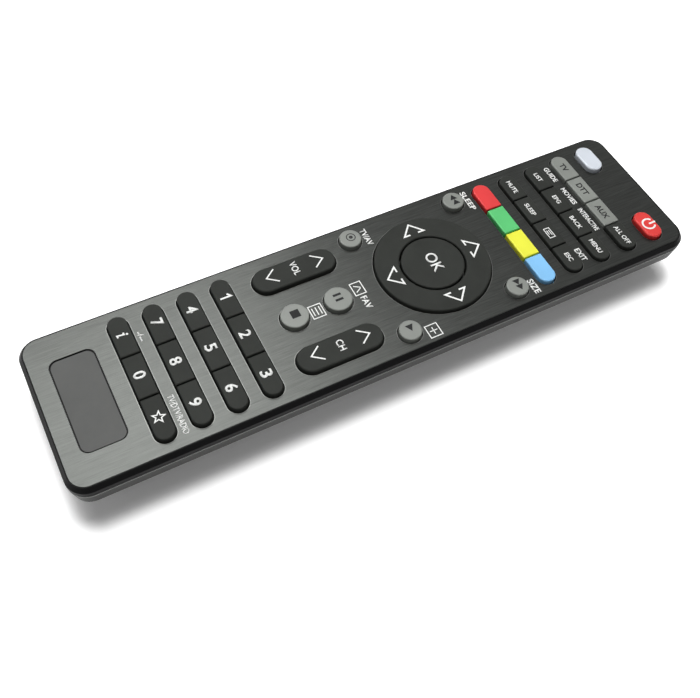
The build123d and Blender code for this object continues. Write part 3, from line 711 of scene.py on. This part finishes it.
# Round openings, and how many straight pieces each edge has
ROUND_HOLES = (
    ("key_source", 48), ("key_rewind", 48), ("key_play", 48), ("key_forward", 48),
    ("key_stop", 56), ("key_pause", 56), ("direction_ring", 144),
)
edges = Legend("housing", plate_top)


def slot_edge(first, last=None):
    """The painted highlight along the edge of a round-ended slot that holds one piece, or the keys from
    first to last.
    """
    low, high = extent(first, last)
    x, y = centre(first, last)
    length, width = high.x - low.x, high.y - low.y
    upright = width > length
    if upright:
        length, width = width, length
    radius = width / 2 - SLOT_INSET
    half = (length - width) / 2
    points = []
    for side in (1, -1):
        for i in range(SLOT_END_STEPS + 1):
            angle = math.radians(-side * 90 + 180 * i / SLOT_END_STEPS)
            u, v = side * half + radius * math.cos(angle), radius * math.sin(angle)
            points.append((x - v, y + u) if upright else (x + u, y + v))
    edges.stroke(points, SLOT_LINE, "opening_highlight", closed=True)


for held in SLOTS:
    slot_edge(*held)
for held, steps in ROUND_HOLES:
    low, high = extent(held)
    radius = (high.x - low.x) / 2 - ROUND_INSET
    edges.arc(*centre(held), radius, ROUND_LINE, "opening_highlight", steps=steps)
edges.finish()


# Floor and lights, in metres

FLOOR_HALF = 6
FLOOR_DROP = 0.0003
FLOOR_GREYS = (0.89, 0.91)
CONTACT_REACH = 0.0009
# The floor's glow brightens close round the remote, and again far out where the lamps fall off
NEAR_INSET = 0.006
NEAR_REACH = (0.0055, 0.0105)
NEAR_GLOW = (0.08, 0.52)
FAR_REACH = (0.06, 0.45)
FAR_GLOW = (0.0, 0.54)
WORLD_STRENGTH = 0.16


def background_rays(tree, path):
    """1 for the rays that show the background: those of the camera, and those through glass or mirrored."""
    seen = maths(tree, "MAXIMUM", path.outputs["Is Camera Ray"], path.outputs["Is Transmission Ray"])
    return maths(tree, "MAXIMUM", seen, path.outputs["Is Glossy Ray"])


def floor_paper():
    """Pale paper with a glow toward white.

    It is clear from below, and to rays that start within CONTACT_REACH, so that the underside is lit.
    """
    material, tree, shader = new_material("floor_paper")
    place = object_coordinates(tree)
    greys = [(grey, grey, grey) for grey in FLOOR_GREYS]
    paper = noise(tree, place, scale=400)
    tree.links.new(ramp(tree, paper, CLOUD_STOPS, greys), shader.inputs["Base Color"])
    shader.inputs["Roughness"].default_value = 0.9
    shader.inputs["Specular IOR Level"].default_value = 0.1

    path = node(tree, "ShaderNodeLightPath")
    distance = vector_maths(tree, "LENGTH", place)
    far = span(tree, distance, *FAR_GLOW, *FAR_REACH, curve="SMOOTHSTEP")
    half_x, half_y = cad_box[1][0] - NEAR_INSET, cad_box[1][1] - NEAR_INSET
    past = vector_maths(tree, "SUBTRACT", vector_maths(tree, "ABSOLUTE", place), (half_x, half_y, 0))
    away = vector_maths(tree, "LENGTH", vector_maths(tree, "MAXIMUM", past))
    near = span(tree, away, *NEAR_GLOW, *NEAR_REACH, curve="SMOOTHSTEP")
    glow = maths(tree, "MULTIPLY", background_rays(tree, path), maths(tree, "ADD", far, near))
    shader.inputs["Emission Color"].default_value = WHITE
    tree.links.new(glow, shader.inputs["Emission Strength"])

    below = node(tree, "ShaderNodeNewGeometry").outputs["Backfacing"]
    touching = maths(tree, "LESS_THAN", path.outputs["Ray Length"], CONTACT_REACH)
    solid = maths(tree, "SUBTRACT", 1.0, maths(tree, "MAXIMUM", touching, below))
    tree.links.new(solid, shader.inputs["Alpha"])
    return material


floor_mesh = bpy.data.meshes.new("floor")
bm = bmesh.new()
bmesh.ops.create_grid(bm, x_segments=8, y_segments=8, size=FLOOR_HALF)
bm.to_mesh(floor_mesh)
bm.free()
floor = bpy.data.objects.new("floor", floor_mesh)
floor.location.z = -FLOOR_DROP
bpy.context.collection.objects.link(floor)
floor_mesh.materials.append(floor_paper())


def studio_world():
    """A white surround, dimmed for the light that it throws on the object from above."""
    world = bpy.data.worlds.new("studio")
    world.use_nodes = True
    tree = world.node_tree
    background = tree.nodes["Background"]
    shown = background_rays(tree, node(tree, "ShaderNodeLightPath"))
    heading = node(tree, "ShaderNodeTexCoord").outputs["Generated"]
    below = maths(tree, "LESS_THAN", height_of(tree, heading), 0.0)
    strength = span(tree, maths(tree, "MAXIMUM", shown, below), WORLD_STRENGTH, 1.0)
    tree.links.new(strength, background.inputs["Strength"])
    background.inputs["Color"].default_value = WHITE
    return world


def softbox(name, place, size, power, size_y=None, spread=180, sheen_only=False):
    """A rectangular lamp that faces the origin."""
    lamp = bpy.data.lights.new(name, "AREA")
    lamp.energy = power
    lamp.shape = "RECTANGLE"
    lamp.size = size
    lamp.size_y = size_y or size
    lamp.spread = math.radians(spread)
    obj = bpy.data.objects.new(name, lamp)
    obj.visible_diffuse = not sheen_only
    obj.location = place
    obj.rotation_euler = (-Vector(place)).to_track_quat("-Z", "Y").to_euler()
    bpy.context.collection.objects.link(obj)


bpy.context.scene.world = studio_world()
softbox("key_softbox", (-0.50, -0.06, 0.82), 0.56, power=0.8, size_y=0.28, spread=120)
softbox("sheen_softbox", (-0.50, -0.06, 0.83), 0.56, power=1.6, size_y=0.28, spread=120, sheen_only=True)
softbox("overhead_softbox", (-0.15, 0.05, 1.0), 0.55, power=8.4)
softbox("fill_softbox", (0.5, -0.9, 0.8), 0.6, power=1.0)

# The camera's place, lens and sensor in millimetres, and its tilt, lean and turn in degrees
CAMERA_PLACE = (127.97, -86.74, 223.51)
CAMERA_ANGLES = (32.807, -3.0044, 62.5189)
CAMERA_LENS = 44.41
CAMERA_SENSOR = 36

camera_data = bpy.data.cameras.new("camera")
camera_data.sensor_width = CAMERA_SENSOR
camera_data.lens = CAMERA_LENS
camera_data.clip_start = 0.01
camera = bpy.data.objects.new("camera", camera_data)
camera.location = Vector(CAMERA_PLACE) * MM
camera.rotation_euler = Euler([math.radians(angle) for angle in CAMERA_ANGLES])
bpy.context.collection.objects.link(camera)
bpy.context.scene.camera = camera
bpy.context.scene.view_settings.view_transform = "Standard"
